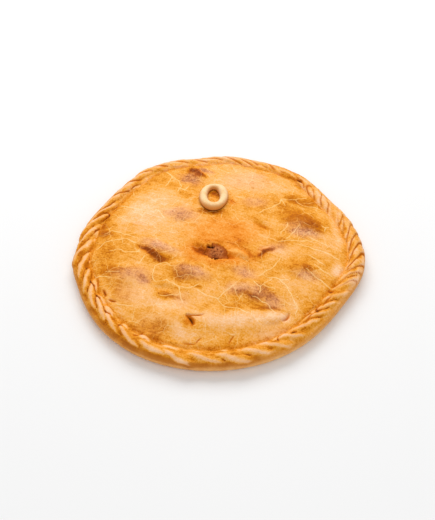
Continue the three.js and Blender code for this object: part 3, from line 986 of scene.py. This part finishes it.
# Long cracks follow the skin's crack lines. Fine ones are the edges of two nets of wandering cells, each with
# its scale and line widths, the scale and edge of the clouds that it shows in, and its strength.
CRACK_NETS = [(62.0, (0.03, 0.01), 40.0, (0.44, 0.6), 0.7), (140.0, (0.06, 0.015), 70.0, (0.5, 0.68), 0.5)]
CELL_BEND = (0.012, 0.012, 0)
LONG_CRACK_WIDTH = (0.8, 0.22)
CRACK_PALER = 0.28
CRACK_TINT = 0.5
CRACK_HEIGHT = 0.3
bend = put(tree, "ShaderNodeTexNoise", {"Vector": place, "Scale": 60.0, "Detail": 3.0}).outputs["Color"]
bend = vector_calc(tree, "SUBTRACT", bend, (0.5, 0.5, 0.5))
bent = vector_calc(tree, "ADD", place, vector_calc(tree, "MULTIPLY", bend, CELL_BEND))
long_lines = ramp(tree, calc(tree, "ABSOLUTE", tone(tree, "crack_side")), *LONG_CRACK_WIDTH)
cracks = calc(tree, "MULTIPLY", long_lines, tone(tree, "crack_near"))
for scale, widths, cloud_scale, cloud_edge, strength in CRACK_NETS:
    edges = {"feature": "DISTANCE_TO_EDGE", "voronoi_dimensions": "2D"}
    cells = put(tree, "ShaderNodeTexVoronoi", {"Vector": bent, "Scale": scale}, **edges)
    lines = ramp(tree, cells.outputs["Distance"], *widths)
    shown = ramp(tree, cloud(tree, place, cloud_scale, detail=2.0), *cloud_edge, 0.0, strength)
    cracks = calc(tree, "MAXIMUM", cracks, calc(tree, "MULTIPLY", lines, shown))
cracks = calc(tree, "MULTIPLY", cracks, ramp(tree, tone(tree, "rope"), 0.5, 0.0))
faint = ramp(tree, streak, 0.35, 0.62, 0.45, 0.95)
paler = calc(tree, "MULTIPLY", cracks, faint)

# The tone is made uneven by clouds of several sizes, less where it is dark already
bake_and_light = tone(tree, "bake_and_light")
calm = ramp(tree, bake_and_light, 0.55, 0.8, 1.0, 0.4)
for wave, reach in [(drift, 0.2), (dough["Mottle"], 0.18), (dough["Flecks"], 0.38), (streak, 0.17)]:
    uneven = calc(tree, "MULTIPLY", calm, ramp(tree, wave, 0.25, 0.75, -reach / 2, reach / 2))
    bake_and_light = calc(tree, "ADD", bake_and_light, uneven)
bake_and_light = calc(tree, "SUBTRACT", bake_and_light, calc(tree, "MULTIPLY", paler, CRACK_PALER))
colour = shades(tree, bake_and_light, BAKE_SHADES)
oily = ramp(tree, tone(tree, "stained"), 0.0, 1.0, 0.0, 0.85)
colour = blend(tree, oily, colour, shades(tree, bake_and_light, OILY_SHADES))
# Painted sheen: the sheen spots pale and pink the brown as a gloss would
broken = calc(tree, "ADD", dough["Mottle"], dough["Flecks"])
sheen = calc(tree, "MULTIPLY", tone(tree, "painted_sheen"), ramp(tree, broken, 0.75, 1.2, 0.45, 1.1))
colour = blend(tree, sheen, colour, shades(tree, bake_and_light, SHEEN_SHADES))
colour = blend(tree, calc(tree, "MULTIPLY", paler, CRACK_TINT), colour, GLAZE_CRACK)

# The rope's tones, with its painted highlights and shade, then pores and crevice darkness over everything
WALL_TINT = 0.6
colour = blend(tree, calc(tree, "MULTIPLY", tone(tree, "wall"), WALL_TINT), colour, OUTER_WALL)
# Painted shade under the fingers' overhang
colour = blend(tree, ramp(tree, tone(tree, "under"), 0.1, 1.0, 0.0, 0.7), colour, UNDER_SHADE_BROWN)
# Pale foot: partly painted floor light, partly paler dough
colour = blend(tree, tone(tree, "foot"), colour, FOOT_CREAM)
# Painted highlights on the fold ridges and the bead tops
ridge_highlight = ramp(tree, tone(tree, "ridge"), 0.2, 1.0)
ridge_highlight = calc(tree, "MULTIPLY", ridge_highlight, ramp(tree, dough["Mottle"], 0.35, 0.65, 0.3, 0.8))
colour = blend(tree, ridge_highlight, colour, RIDGE_HIGHLIGHT)
colour = blend(tree, ramp(tree, tone(tree, "bead"), 0.3, 1.0, 0.0, 0.7), colour, BEAD_HIGHLIGHT_GOLD)
speckle = calc(tree, "MULTIPLY", dough["Pores"], ramp(tree, tone(tree, "painted_sheen"), 0.0, 0.6, 0.25, 0.5))
colour = blend(tree, speckle, colour, PORE_BROWN)
# Painted shade in creases, slits and the vent's wall, over partly browned dough
colour = blend(tree, ramp(tree, tone(tree, "cuts"), 0.05, 0.5), colour, CREVICE_SHADE_ORANGE)
colour = blend(tree, ramp(tree, tone(tree, "cuts"), 0.5, 0.95), colour, CREVICE_SHADE_BROWN)
height = calc(tree, "ADD", dough["Height"], calc(tree, "MULTIPLY", cracks, CRACK_HEIGHT))
bump = bumped(tree, strength=0.45, distance=0.9, height=height)
rough = ramp(tree, dough["Mottle"], 0.3, 0.7, 0.42, 0.56)
join(shader, {"Base Color": colour, "Roughness": rough, "Normal": bump, "Specular IOR Level": 0.04})
crust.data.materials.append(crust_material)
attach(crust, "root")
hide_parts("crust")

# Filling: meat and onion that boiled up in the torn vent and baked to a dark crumbly crust. It fills the
# well under the lid's torn edge, and only its broken top shows.
FILLING_COLUMNS = 72
FILLING_BOTTOM = 8.5
FILLING_CROWN = 0.9
# Rows from the bottom up the side and in over the top: share of the way out, and drop below the lid's top
FILLING_STEPS = [(0.5, FILLING_BOTTOM), (0.84, FILLING_BOTTOM), (0.9, 6.0), (0.94, 4.6), (0.97, 1.4)]
FILLING_STEPS += [(0.95, 0.6), (0.86, 0.6), (0.77, 0.6), (0.68, 0.7), (0.6, 0.8)]
FILLING_STEPS += [(share, FILLING_CROWN) for share in (0.52, 0.44, 0.36, 0.28, 0.2, 0.1)]
FILLING_TOP_DROP = (6.0, 3.0)
FLUSH_SHARE = (0.35, 0.95)
CRAGS = [(1.0, 3.2, 31.0), (0.6, 1.5, 33.0)]
CRAG_RISE = 1.3
BRIM_START = 0.62
BRIM_START_ROUND = [(-30, 30, -0.3), (170, 35, -0.4)]
BRIM_FULL = 0.95
# Holes in the top, each with middle, half length, half width, turn and depth
FILLING_HOLES = [(-9, -5.5, 4, 2.2, -8, 3.0), (-5.5, -22, 5, 2.4, 5, 3.4)]
HOLE_EDGE = (1.3, 0.6)
CRUMB_BROWN = srgb(142, 64, 20)
CRUMB_TAN = srgb(211, 127, 66)
CRUMB_HOLLOW_SHADE = srgb(120, 52, 16)
BRIM_ORANGE = srgb(178, 86, 12)
HOLE_SHADE_BROWN = srgb(70, 24, 6)
filling_share, filling_drop = [np.array(values)[:, None] for values in zip(*FILLING_STEPS)]
filling_angle = np.arange(FILLING_COLUMNS)[None, :] * 360 / FILLING_COLUMNS
filling_x, filling_y = vent_spot(filling_angle, filling_share)
crag = bumps(filling_x, filling_y, CRAGS)
filling_top = smooth_step(*FILLING_TOP_DROP, filling_drop)
torn_edge = lid_height(*vent_spot(filling_angle, 1))
flush = smooth_step(*FLUSH_SHARE, filling_share) * filling_top
filling_z = LID_TOP + (torn_edge - LID_TOP) * flush - filling_drop + CRAG_RISE * crag * filling_top
hole = np.zeros_like(crag)
for *oval, depth in FILLING_HOLES:
    inside = smooth_step(*HOLE_EDGE, oval_reach(filling_x, filling_y, oval))
    filling_z -= depth * inside * filling_top
    hole = np.maximum(hole, inside)
brim = smooth_step(by_angle(BRIM_START, BRIM_START_ROUND, filling_angle), BRIM_FULL, filling_share)
filling_tones = {"crag": crag, "hole": hole, "brim": brim}
filling_poles = [(VENT[0], VENT[1], LID_TOP - drop) for drop in (FILLING_BOTTOM, FILLING_CROWN)]
filling_mesh = rolled_skin((filling_x, filling_y, filling_z), filling_tones, *filling_poles)
filling = piece_from(filling_mesh, "vent_filling_crumb")
filling_material, tree, shader, place = bare_material("baked_filling")
bits = cloud(tree, place, scale=650.0, detail=4.0, roughness=0.7)
colour = blend(tree, ramp(tree, bits, 0.36, 0.62), CRUMB_BROWN, CRUMB_TAN)
# Painted shade: darker in the crumb's hollows and in its holes
colour = blend(tree, ramp(tree, tone(tree, "crag"), 0.0, -0.8), colour, CRUMB_HOLLOW_SHADE)
colour = blend(tree, ramp(tree, tone(tree, "brim"), 0.0, 1.0, 0.0, 0.85), colour, BRIM_ORANGE)
colour = blend(tree, ramp(tree, tone(tree, "hole"), 0.2, 0.9), colour, HOLE_SHADE_BROWN)
bump = bumped(tree, strength=0.5, distance=0.8, height=bits)
join(shader, {"Base Color": colour, "Roughness": 0.5, "Normal": bump, "Specular IOR Level": 0.06})
filling.data.materials.append(filling_material)
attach(filling, "root")
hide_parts("vent_filling")

# Dough ring: a strip of the same dough, rolled by hand, closed to an oval and laid on the lid before baking.
# It took no egg wash, so it stayed pale; its low sides and front carry painted shade, and its foot a painted
# shadow.
RING_MIDDLE = (-6, 66)
RING_ACROSS = 30
RING_ALONG = 42
RING_STRIP_WIDTH = 8.6
RING_STRIP_HEIGHT = 7.4
RING_FLAT_SHARE = 0.5
RING_SWELLS = [(1, 0.07, 160), (2, 0.07, 35), (3, 0.05, 0)]
RING_BUMPS = [(0.25, 6, 41.0)]
RING_STEPS = 120
RING_SIDES = 28
RING_SUNK = 0.5
RING_SIDE_SHADE = srgb(206, 120, 42)
RING_CREAM = srgb(253, 218, 168)
RING_MOTTLE = srgb(240, 180, 104)
RING_FLECKS = srgb(232, 172, 100)
RING_FRONT_SHADE = srgb(226, 152, 66)
RING_FOOT_SHADOW = srgb(118, 50, 6)
bm = bmesh.new()
section = bmesh.ops.create_circle(bm, segments=RING_SIDES, radius=1)["verts"]
bmesh.ops.rotate(bm, verts=section, cent=(0, 0, 0), matrix=Matrix.Rotation(math.pi / 2, 3, "X"))
bmesh.ops.translate(bm, verts=section, vec=(RING_ACROSS, 0, 0))
bmesh.ops.spin(
    bm,
    geom=bm.verts[:] + bm.edges[:],
    cent=(0, 0, 0),
    axis=(0, 0, 1),
    angle=2 * math.pi,
    steps=RING_STEPS,
    use_merge=True,
)
half_across = (RING_ACROSS - RING_STRIP_WIDTH) / 2
half_along = (RING_ALONG - RING_STRIP_WIDTH) / 2
half_height = RING_STRIP_HEIGHT / (1 + RING_FLAT_SHARE)
spun = np.array([vert.co for vert in bm.verts])
ring_turn = np.arctan2(spun[:, 1], spun[:, 0])
ring_out = np.hypot(spun[:, 0], spun[:, 1]) - RING_ACROSS
ring_up = np.maximum(spun[:, 2], -RING_FLAT_SHARE) + RING_FLAT_SHARE
swell = 1 + sum(part * np.sin(count * ring_turn + math.radians(at)) for count, part, at in RING_SWELLS)
side_x = half_along * np.cos(ring_turn)
side_y = half_across * np.sin(ring_turn)
side_reach = ring_out * swell * RING_STRIP_WIDTH / 2 / np.hypot(side_x, side_y)
ring_x = RING_MIDDLE[0] + half_across * np.cos(ring_turn) + side_x * side_reach
ring_y = RING_MIDDLE[1] + half_along * np.sin(ring_turn) + side_y * side_reach
ring_z = lid_height(ring_x, ring_y) - RING_SUNK + ring_up * half_height * swell
ring_z += bumps(ring_x, ring_y, RING_BUMPS) * (ring_up > 0)
front_facing = np.clip(-ring_out * np.sin(ring_turn), 0, 1)
lifted = bm.verts.layers.float.new("lifted")
front_shade = bm.verts.layers.float.new("front_shade")
for index, vert in enumerate(bm.verts):
    vert.co = Vector((ring_x[index], ring_y[index], ring_z[index])) * MM
    vert[lifted] = ring_up[index] / (1 + RING_FLAT_SHARE)
    vert[front_shade] = front_facing[index]
turn_outward(bm)
ring = piece_from(bm, "dough_ring_strip")
ring_material, tree, shader, place = bare_material("pale_rolled_dough")
dough = put(tree, "ShaderNodeGroup", {"Place": place}, node_tree=grain).outputs
# Painted shade on the strip's low sides and front, painted shadow along its foot
colour = blend(tree, ramp(tree, tone(tree, "lifted"), 0.15, 1.0), RING_SIDE_SHADE, RING_CREAM)
colour = blend(tree, ramp(tree, dough["Mottle"], 0.45, 0.75, 0.0, 0.5), colour, RING_MOTTLE)
colour = blend(tree, ramp(tree, dough["Flecks"], 0.48, 0.7, 0.0, 0.5), colour, RING_FLECKS)
colour = blend(tree, ramp(tree, tone(tree, "front_shade"), 0.1, 1.0, 0.0, 0.85), colour, RING_FRONT_SHADE)
colour = blend(tree, ramp(tree, tone(tree, "lifted"), 0.4, 0.14, 0.0, 0.95), colour, RING_FOOT_SHADOW)
bump = bumped(tree, strength=0.4, distance=0.6, height=dough["Height"])
join(shader, {"Base Color": colour, "Roughness": 0.5, "Normal": bump, "Specular IOR Level": 0.04})
ring.data.materials.append(ring_material)
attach(ring, "root")
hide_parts("dough_ring")

# Studio: a plain white floor under a large soft light from behind, a weaker one from the front, and an even
# white sky. The camera stands in front, at the photograph's angle.
FLOOR_SIZE = 8.0
FLOOR_WHITE = (0.9, 0.9, 0.9, 1)
SKY_WHITE = (1, 1, 1, 1)
SKY_STRENGTH = 0.5
CAMERA_RISE = math.radians(46.5)
CAMERA_DISTANCE = 1.2
CAMERA_AIM = Vector((-0.002, 0.0007, 0.0007))
CAMERA_LENS = 81.2
bm = bmesh.new()
bmesh.ops.create_grid(bm, x_segments=1, y_segments=1, size=FLOOR_SIZE / 2)
floor = piece_from(bm, "floor")
floor_material, _, shader, _ = bare_material("white_floor")
join(shader, {"Base Color": FLOOR_WHITE, "Roughness": 0.9, "Specular IOR Level": 0.0})
floor.data.materials.append(floor_material)


def soft_light(name, width, depth, watts, stands):
    """A rectangle of light that faces the middle of the floor."""
    light = bpy.data.lights.new(name, "AREA")
    light.shape = "RECTANGLE"
    light.size = width
    light.size_y = depth
    light.energy = watts
    lamp = bpy.data.objects.new(name, light)
    lamp.location = stands
    lamp.rotation_mode = "QUATERNION"
    lamp.rotation_quaternion = (-Vector(stands)).to_track_quat("-Z", "Y")
    bpy.context.collection.objects.link(lamp)


soft_light("back_softbox", width=1.9, depth=1.1, watts=27, stands=(-0.1, 1.3, 1.4))
soft_light("front_fill", width=1.6, depth=1.2, watts=10, stands=(0.2, -1.4, 1.6))
world = bpy.data.worlds.new("even_sky")
world.use_nodes = True
join(world.node_tree.nodes["Background"], {"Color": SKY_WHITE, "Strength": SKY_STRENGTH})
scene = bpy.context.scene
scene.world = world
scene.view_settings.view_transform = "Standard"

camera_data = bpy.data.cameras.new("camera")
camera_data.lens = CAMERA_LENS
camera = bpy.data.objects.new("camera", camera_data)
back = Vector((0, -math.cos(CAMERA_RISE), math.sin(CAMERA_RISE)))
camera.location = CAMERA_AIM + back * CAMERA_DISTANCE
camera.rotation_mode = "QUATERNION"
camera.rotation_quaternion = (-back).to_track_quat("-Z", "Y")
bpy.context.collection.objects.link(camera)
scene.camera = camera
